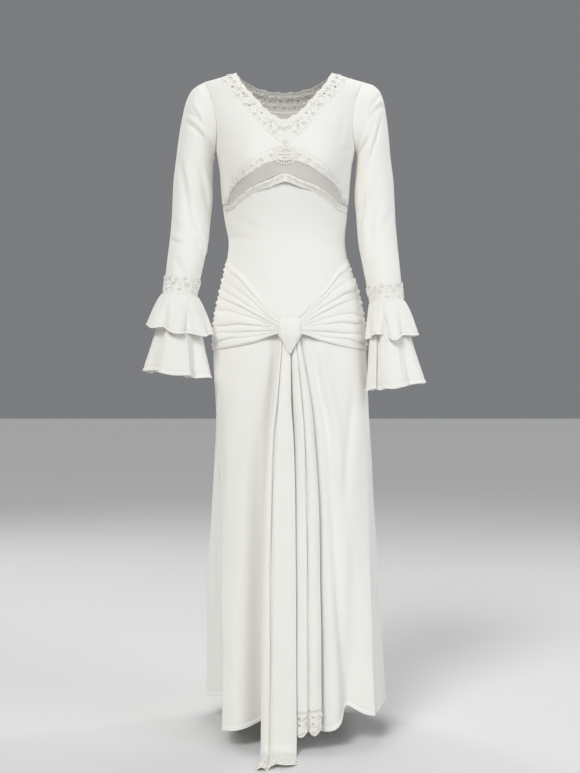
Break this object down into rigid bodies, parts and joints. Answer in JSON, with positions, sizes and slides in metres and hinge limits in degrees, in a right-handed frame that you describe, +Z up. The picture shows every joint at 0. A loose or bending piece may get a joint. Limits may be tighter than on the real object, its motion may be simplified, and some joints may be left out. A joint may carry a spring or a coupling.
{
  "type": "maxi dress",
  "caption": "Long-sleeved white maxi dress with a lace V neck, sheer under-bust crescent, knotted hip sash, flounced wrists and an ankle-length skirt.",
  "frame": {"origin": "middle of the shoulder line, at its height, where the dress is held", "axes": "+Z up, from the hem to the shoulders; -Y towards the front; +X towards the wearer's left"},
  "size_m": [0.6187, 0.4666, 1.4143],
  "materials": {
    "jersey": "matt white stretch jersey",
    "lace": "creamy white floral lace",
    "sheer": "fine see-through mesh"
  },
  "bodies": {
    "root": {"bodice_front_right": "jersey", "bodice_front_left": "jersey", "bodice_back": "jersey", "midriff_front": "jersey", "hip_wrap_right": "jersey", "hip_wrap_left": "jersey", "sash_knot": "jersey", "sash_tail_right": "jersey", "sash_tail_left": "jersey", "skirt_front": "jersey", "skirt_back": "jersey", "sleeve_front_right": "jersey", "sleeve_back_right": "jersey", "sleeve_front_left": "jersey", "sleeve_back_left": "jersey", "flounce_upper_right": "jersey", "flounce_upper_left": "jersey", "flounce_lower_right": "jersey", "flounce_lower_left": "jersey", "neck_lace_right": "lace", "neck_lace_left": "lace", "neck_lace_back": "lace", "arch_lace_upper": "lace", "arch_lace_lower": "lace", "wrist_lace_right": "lace", "wrist_lace_left": "lace", "tail_lace_right": "lace", "tail_lace_left": "lace", "underbust_sheer": "sheer"}
  },
  "joints": []
}
